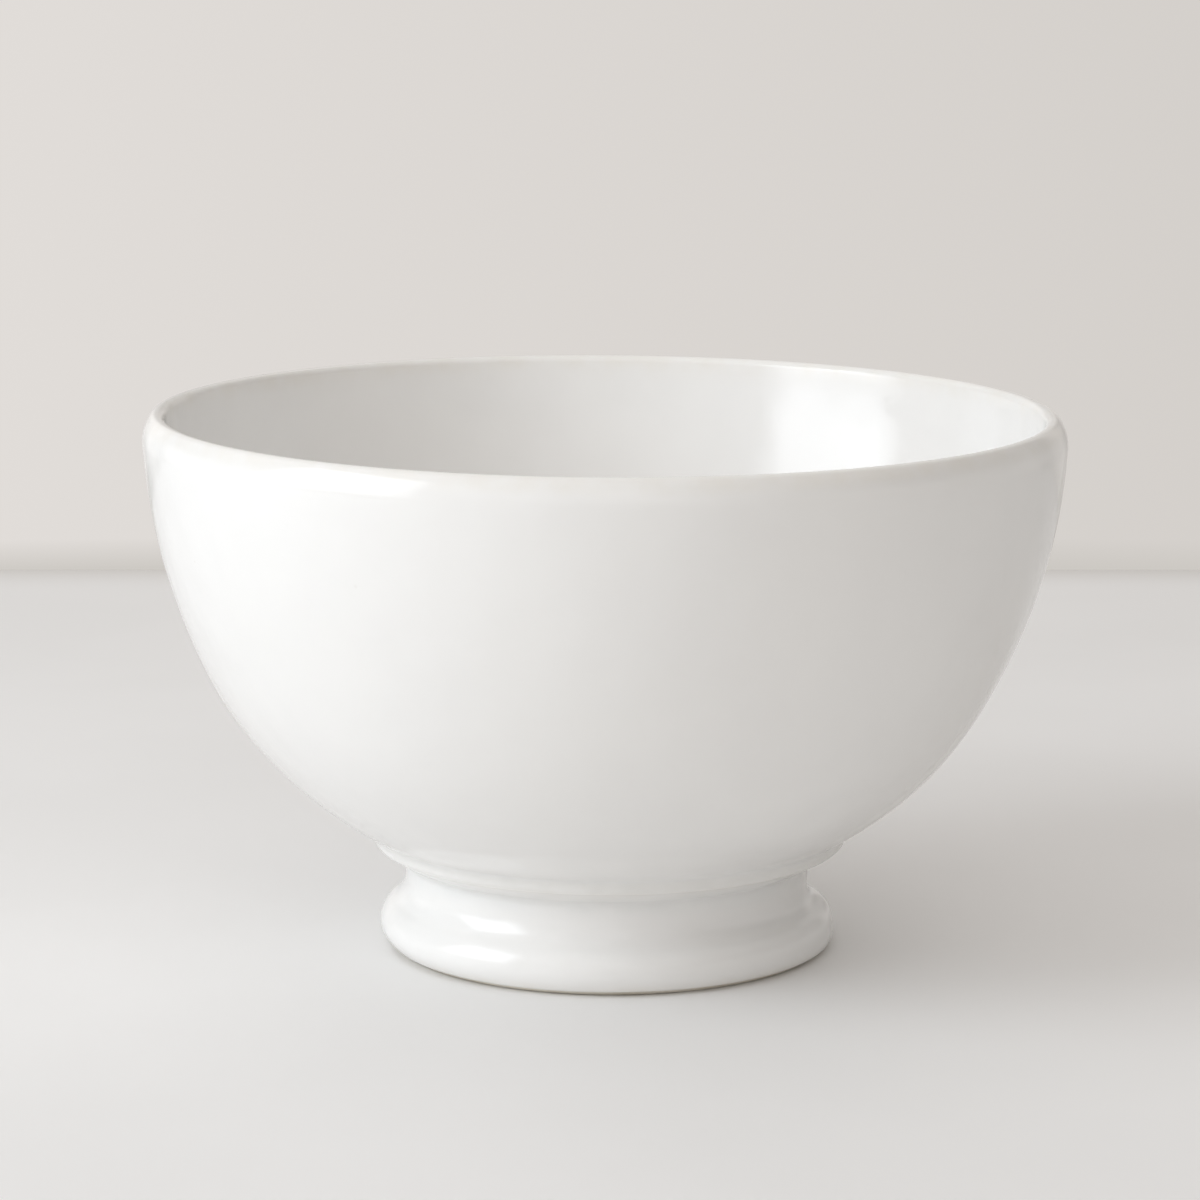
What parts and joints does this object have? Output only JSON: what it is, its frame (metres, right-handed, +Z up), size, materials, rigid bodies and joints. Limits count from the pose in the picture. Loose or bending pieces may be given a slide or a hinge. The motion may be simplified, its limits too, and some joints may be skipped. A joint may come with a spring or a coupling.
{
  "type": "footed latte bowl",
  "caption": "Deep round stoneware bowl with a plain rounded lip, on a waisted foot ring with a small collar and a rolled edge, covered in glossy white glaze.",
  "frame": {"origin": "on the bowl's axis, in the plane of the dry ring that it stands on", "axes": "+Z up along the axis that the bowl was turned about, and +X and +Y in the table's plane, in no special direction because the bowl is round"},
  "size_m": [0.1524, 0.1524, 0.0905],
  "materials": {
    "clay": "bare fired stoneware, fine and matt",
    "slip": "fired joining slip, matt",
    "glaze": "gloss white, slightly warm"
  },
  "bodies": {
    "root": {"bowl": "clay", "foot_ring": "clay", "luting_slip": "slip", "glaze_coat": "glaze", "recess_glaze": "glaze"}
  },
  "joints": []
}
